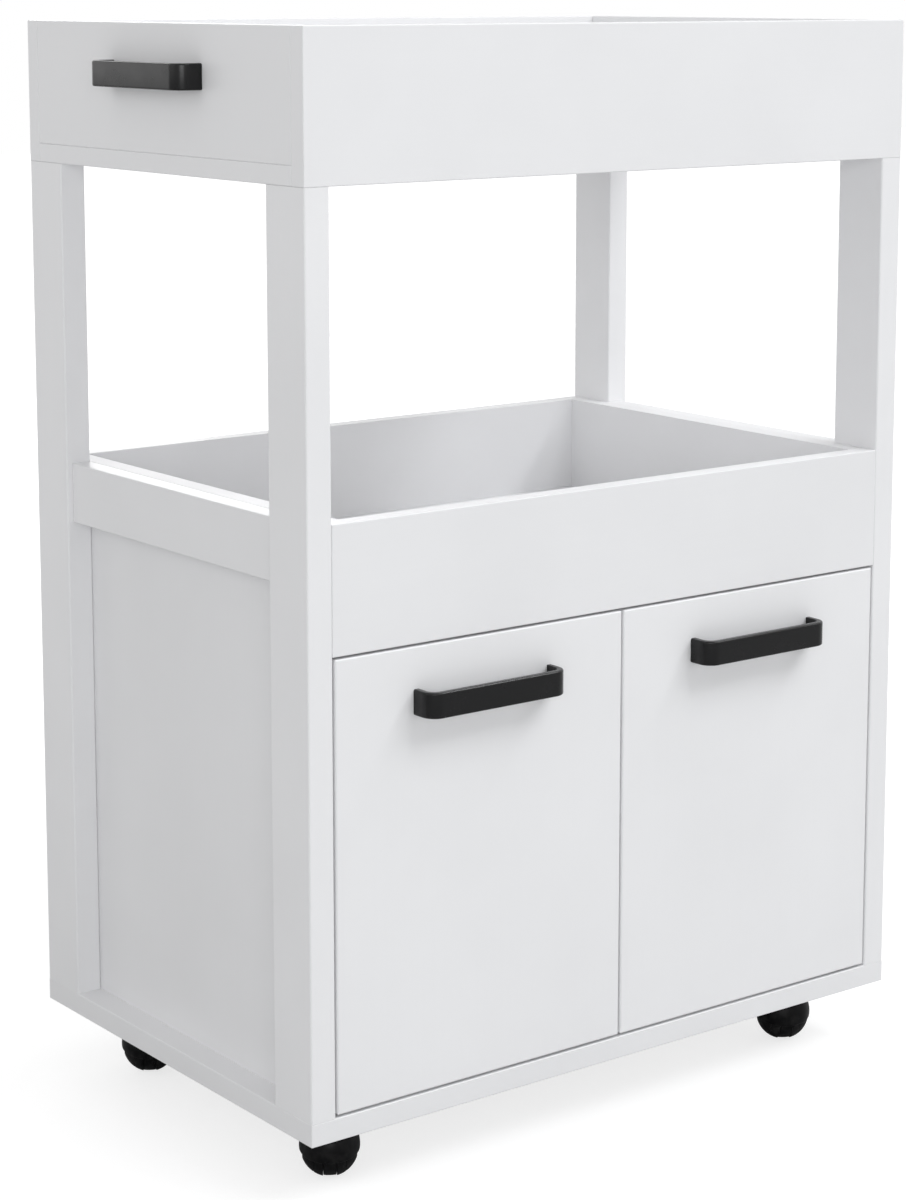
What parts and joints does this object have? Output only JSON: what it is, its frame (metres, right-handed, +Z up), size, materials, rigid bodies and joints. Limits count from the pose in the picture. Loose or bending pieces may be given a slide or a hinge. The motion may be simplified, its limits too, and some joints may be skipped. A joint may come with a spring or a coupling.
{
  "type": "microwave cart",
  "caption": "Rolling kitchen cart with a deep upper tray on four posts, a lower tray over a two-door cabinet, black pulls and swivelling twin-wheel casters.",
  "frame": {"origin": "on the floor, under the middle of the cart with its pulls included, so the posts and boards stand half a pull to the right and half a pull to the back of it", "axes": "+X to the right seen from the front, +Y to the back, +Z up"},
  "size_m": [0.622, 0.422, 0.88],
  "materials": {
    "white_paint": "white painted board, satin",
    "panels": "white laminated board, matt",
    "pulls": "black powder coat, satin",
    "casters": "black moulded nylon",
    "steel": "zinc plated",
    "dowels": "bare beech"
  },
  "bodies": {
    "cart": {"base_board": "white_paint", "front_left_post": "white_paint", "front_right_post": "white_paint", "rear_left_post": "white_paint", "rear_right_post": "white_paint", "left_side_panel": "panels", "right_side_panel": "panels", "left_side_rail": "white_paint", "right_side_rail": "white_paint", "lower_tray_front": "white_paint", "lower_tray_back": "white_paint", "lower_tray_floor": "white_paint", "cabinet_back": "panels", "upper_tray_floor": "white_paint", "upper_tray_front": "white_paint", "upper_tray_back": "white_paint", "upper_tray_left": "white_paint", "upper_tray_right": "white_paint", "push_handle": "pulls", "push_handle_screws": "steel", "dowels": "dowels", "post_screws": "steel", "panel_screws": "steel", "back_nails": "steel", "caster_plates": "steel", "caster_screws": "steel", "hinge_plates": "steel", "hinge_plate_screws": "steel", "hinge_arms": "steel", "hinge_arm_screws": "steel"},
    "left_door_leaf": {"left_door": "white_paint", "left_door_pull": "pulls", "left_pull_screws": "steel", "left_hinge_cups": "steel", "left_cup_screws": "steel"},
    "right_door_leaf": {"right_door": "white_paint", "right_door_pull": "pulls", "right_pull_screws": "steel", "right_hinge_cups": "steel", "right_cup_screws": "steel"},
    "front_left_caster": {"front_left_hood": "casters", "front_left_axle": "steel"},
    "front_left_wheel_a": {"front_left_wheel_a": "casters"},
    "front_left_wheel_b": {"front_left_wheel_b": "casters"},
    "front_right_caster": {"front_right_hood": "casters", "front_right_axle": "steel"},
    "front_right_wheel_a": {"front_right_wheel_a": "casters"},
    "front_right_wheel_b": {"front_right_wheel_b": "casters"},
    "rear_left_caster": {"rear_left_hood": "casters", "rear_left_axle": "steel"},
    "rear_left_wheel_a": {"rear_left_wheel_a": "casters"},
    "rear_left_wheel_b": {"rear_left_wheel_b": "casters"},
    "rear_right_caster": {"rear_right_hood": "casters", "rear_right_axle": "steel"},
    "rear_right_wheel_a": {"rear_right_wheel_a": "casters"},
    "rear_right_wheel_b": {"rear_right_wheel_b": "casters"}
  },
  "joints": [
    {"name": "left_door_hinge", "type": "hinge", "parent": "cart", "child": "left_door_leaf", "pos_m": [-0.249, -0.182, 0.24495], "axis": [0, 0, -1], "range_deg": [0, 105]},
    {"name": "right_door_hinge", "type": "hinge", "parent": "cart", "child": "right_door_leaf", "pos_m": [0.271, -0.182, 0.24495], "axis": [0, 0, 1], "range_deg": [0, 105]},
    {"name": "front_left_swivel", "type": "hinge", "parent": "cart", "child": "front_left_caster", "pos_m": [-0.2285, -0.1231, 0.04765], "axis": [0, 0, 1], "continuous": true},
    {"name": "front_left_roll_a", "type": "hinge", "parent": "front_left_caster", "child": "front_left_wheel_a", "pos_m": [-0.23852, -0.13841, 0.022], "axis": [0.8368, -0.5476, 0], "continuous": true},
    {"name": "front_left_roll_b", "type": "hinge", "parent": "front_left_caster", "child": "front_left_wheel_b", "pos_m": [-0.23852, -0.13841, 0.022], "axis": [0.8368, -0.5476, 0], "continuous": true},
    {"name": "front_right_swivel", "type": "hinge", "parent": "cart", "child": "front_right_caster", "pos_m": [0.2505, -0.1231, 0.04765], "axis": [0, 0, 1], "continuous": true},
    {"name": "front_right_roll_a", "type": "hinge", "parent": "front_right_caster", "child": "front_right_wheel_a", "pos_m": [0.24048, -0.13841, 0.022], "axis": [0.8368, -0.5476, 0], "continuous": true},
    {"name": "front_right_roll_b", "type": "hinge", "parent": "front_right_caster", "child": "front_right_wheel_b", "pos_m": [0.24048, -0.13841, 0.022], "axis": [0.8368, -0.5476, 0], "continuous": true},
    {"name": "rear_left_swivel", "type": "hinge", "parent": "cart", "child": "rear_left_caster", "pos_m": [-0.2285, 0.1451, 0.04765], "axis": [0, 0, 1], "continuous": true},
    {"name": "rear_left_roll_a", "type": "hinge", "parent": "rear_left_caster", "child": "rear_left_wheel_a", "pos_m": [-0.23852, 0.12979, 0.022], "axis": [0.8368, -0.5476, 0], "continuous": true},
    {"name": "rear_left_roll_b", "type": "hinge", "parent": "rear_left_caster", "child": "rear_left_wheel_b", "pos_m": [-0.23852, 0.12979, 0.022], "axis": [0.8368, -0.5476, 0], "continuous": true},
    {"name": "rear_right_swivel", "type": "hinge", "parent": "cart", "child": "rear_right_caster", "pos_m": [0.2505, 0.1451, 0.04765], "axis": [0, 0, 1], "continuous": true},
    {"name": "rear_right_roll_a", "type": "hinge", "parent": "rear_right_caster", "child": "rear_right_wheel_a", "pos_m": [0.24048, 0.12979, 0.022], "axis": [0.8368, -0.5476, 0], "continuous": true},
    {"name": "rear_right_roll_b", "type": "hinge", "parent": "rear_right_caster", "child": "rear_right_wheel_b", "pos_m": [0.24048, 0.12979, 0.022], "axis": [0.8368, -0.5476, 0], "continuous": true}
  ]
}
